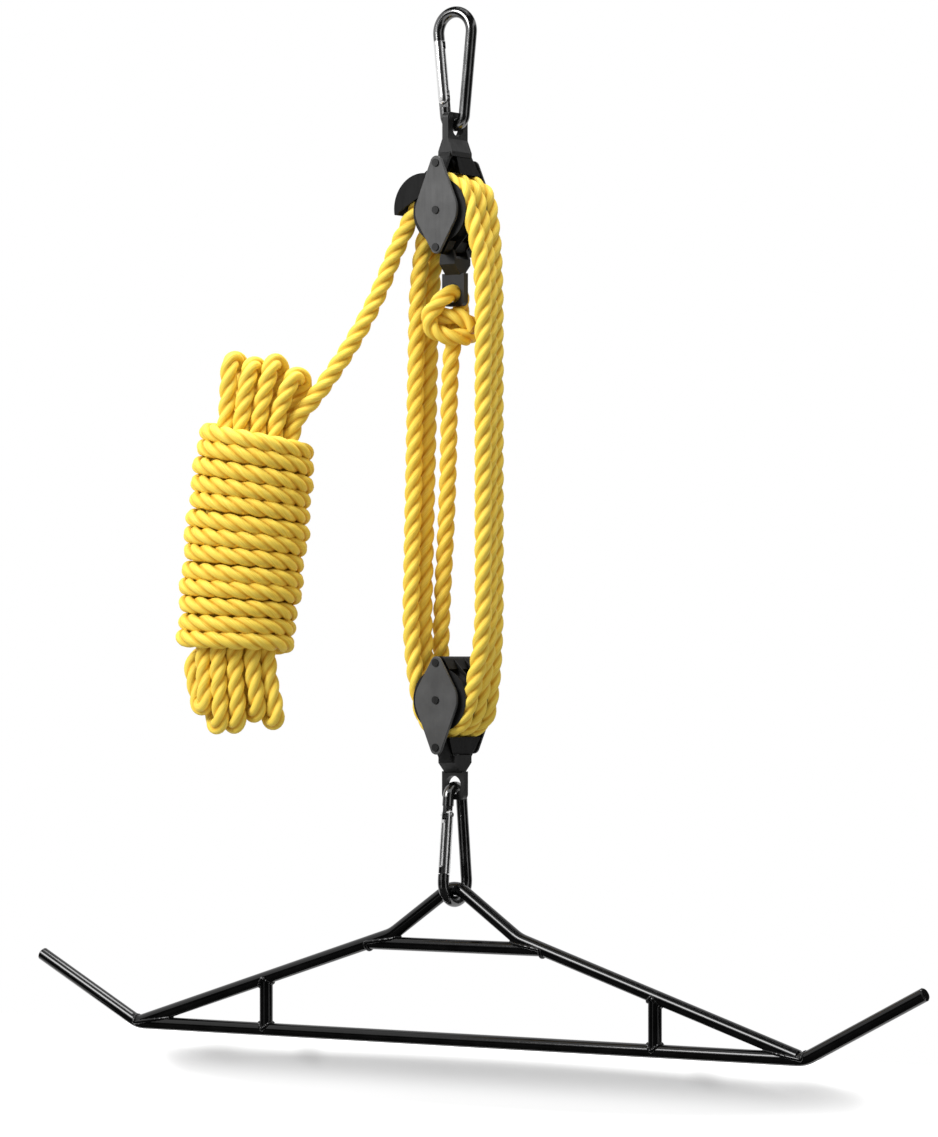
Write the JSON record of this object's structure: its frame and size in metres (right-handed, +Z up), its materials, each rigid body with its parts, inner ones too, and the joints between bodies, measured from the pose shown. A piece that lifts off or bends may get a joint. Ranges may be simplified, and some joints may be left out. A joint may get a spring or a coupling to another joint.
{
  "type": "game hoist",
  "caption": "Game hoist: rope tackle of two sheave blocks with snap hooks, a welded rod gambrel with upturned ends below and the spare rope wound in a hank.",
  "frame": {"origin": "hang point: the inside of the upper snap hook's bow, at its top", "axes": "+Z up, +X along the gambrel, +Y to the back; the free line leaves on the -X side"},
  "size_m": [0.7556, 0.1403, 0.7288],
  "materials": {
    "rope": "matte",
    "plated_wire": "polished",
    "plated_gate": "polished",
    "pin_steel": "satin",
    "black_rod": "gloss",
    "grey_plate": "satin",
    "sheave_plastic": "matte",
    "rivet_steel": "satin",
    "black_plate": "satin"
  },
  "bodies": {
    "top_hook": {"top_hook_frame": "plated_wire", "top_gate_pin": "pin_steel"},
    "top_gate": {"top_hook_gate": "plated_gate", "top_gate_spring": "pin_steel"},
    "top_block": {"top_strap": "black_plate", "top_front_cheek": "grey_plate", "top_rear_cheek": "black_plate", "top_axle": "rivet_steel", "top_rivets": "rivet_steel", "top_spacer": "black_plate", "top_rope_guard": "black_plate", "top_dividers": "sheave_plastic", "becket_strap": "black_plate", "rope_knot": "rope", "rope_fall_1": "rope", "rope_fall_2": "rope", "rope_fall_3": "rope", "rope_fall_4": "rope", "rope_fall_5": "rope", "rope_fall_6": "rope", "rope_top_turn_a": "rope", "rope_top_turn_b": "rope", "rope_top_turn_c": "rope", "rope_free_line": "rope", "rope_hank_loops": "rope", "rope_hank_wraps": "rope"},
    "top_sheave_a": {"top_sheave_a": "sheave_plastic"},
    "top_sheave_b": {"top_sheave_b": "sheave_plastic"},
    "top_sheave_c": {"top_sheave_c": "sheave_plastic"},
    "rope_lock": {"rope_lock": "black_plate"},
    "lower_block": {"lower_strap": "black_plate", "lower_front_cheek": "grey_plate", "lower_rear_cheek": "black_plate", "lower_axle": "rivet_steel", "lower_rivets": "rivet_steel", "lower_spacer": "black_plate", "lower_rope_guard": "black_plate", "lower_dividers": "sheave_plastic", "rope_lower_turn_a": "rope", "rope_lower_turn_b": "rope", "rope_lower_turn_c": "rope"},
    "lower_sheave_a": {"lower_sheave_a": "sheave_plastic"},
    "lower_sheave_b": {"lower_sheave_b": "sheave_plastic"},
    "lower_sheave_c": {"lower_sheave_c": "sheave_plastic"},
    "lower_hook": {"lower_hook_frame": "plated_wire", "lower_gate_pin": "pin_steel"},
    "lower_gate": {"lower_hook_gate": "plated_gate", "lower_gate_spring": "pin_steel"},
    "gambrel": {"gambrel_upper_rod": "black_rod", "gambrel_lower_bar": "black_rod", "gambrel_crossbar": "black_rod", "gambrel_struts": "black_rod"}
  },
  "joints": [
    {"name": "top_gate", "type": "hinge", "parent": "top_hook", "child": "top_gate", "pos_m": [-0.0092, 0, -0.05689], "axis": [0, 1, 0], "range_deg": [0, 25], "stiffness_Nm_per_rad": 0.1},
    {"name": "block_swing", "type": "hinge", "parent": "top_hook", "child": "top_block", "pos_m": [0, 0, -0.0773], "axis": [1, 0, 0], "range_deg": [-30, 30]},
    {"name": "rope_lock", "type": "hinge", "parent": "top_block", "child": "rope_lock", "pos_m": [0, -0.01265, -0.1039], "axis": [0, 1, 0], "range_deg": [0, 25]},
    {"name": "lift", "type": "slide", "parent": "top_block", "child": "lower_block", "axis": [0, 0, 1], "range_m": [0, 0.16], "deforming": ["rope_fall_1", "rope_fall_2", "rope_fall_3", "rope_fall_4", "rope_fall_5", "rope_fall_6"]},
    {"name": "lower_sheave_a", "type": "hinge", "parent": "lower_block", "child": "lower_sheave_a", "pos_m": [0, 0.013, -0.4785], "axis": [0, -1, 0], "continuous": true},
    {"name": "top_sheave_a", "type": "hinge", "parent": "top_block", "child": "top_sheave_a", "pos_m": [0, 0.013, -0.1369], "axis": [0, -1, 0], "continuous": true},
    {"name": "lower_sheave_b", "type": "hinge", "parent": "lower_block", "child": "lower_sheave_b", "pos_m": [0, 0, -0.4785], "axis": [0, -1, 0], "continuous": true},
    {"name": "top_sheave_b", "type": "hinge", "parent": "top_block", "child": "top_sheave_b", "pos_m": [0, 0, -0.1369], "axis": [0, -1, 0], "continuous": true},
    {"name": "lower_sheave_c", "type": "hinge", "parent": "lower_block", "child": "lower_sheave_c", "pos_m": [0, -0.013, -0.4785], "axis": [0, -1, 0], "continuous": true},
    {"name": "top_sheave_c", "type": "hinge", "parent": "top_block", "child": "top_sheave_c", "pos_m": [0, -0.013, -0.1369], "axis": [0, -1, 0], "continuous": true},
    {"name": "hook_swing", "type": "hinge", "parent": "lower_block", "child": "lower_hook", "pos_m": [0, 0, -0.5381], "axis": [0, 1, 0], "range_deg": [-40, 40]},
    {"name": "lower_gate", "type": "hinge", "parent": "lower_hook", "child": "lower_gate", "pos_m": [0, -0.0092, -0.55851], "axis": [1, 0, 0], "range_deg": [0, 25], "stiffness_Nm_per_rad": 0.1},
    {"name": "gambrel_rock", "type": "hinge", "parent": "lower_hook", "child": "gambrel", "pos_m": [0, 0, -0.62435], "axis": [0, 1, 0], "range_deg": [-20, 20]}
  ],
  "couplings": [
    {"joint": "lower_sheave_a", "follows": "lift", "rad_per_m": 46.512},
    {"joint": "top_sheave_a", "follows": "lift", "rad_per_m": 93.023},
    {"joint": "lower_sheave_b", "follows": "lift", "rad_per_m": 139.53},
    {"joint": "top_sheave_b", "follows": "lift", "rad_per_m": 186.05},
    {"joint": "lower_sheave_c", "follows": "lift", "rad_per_m": 232.56},
    {"joint": "top_sheave_c", "follows": "lift", "rad_per_m": 279.07}
  ]
}
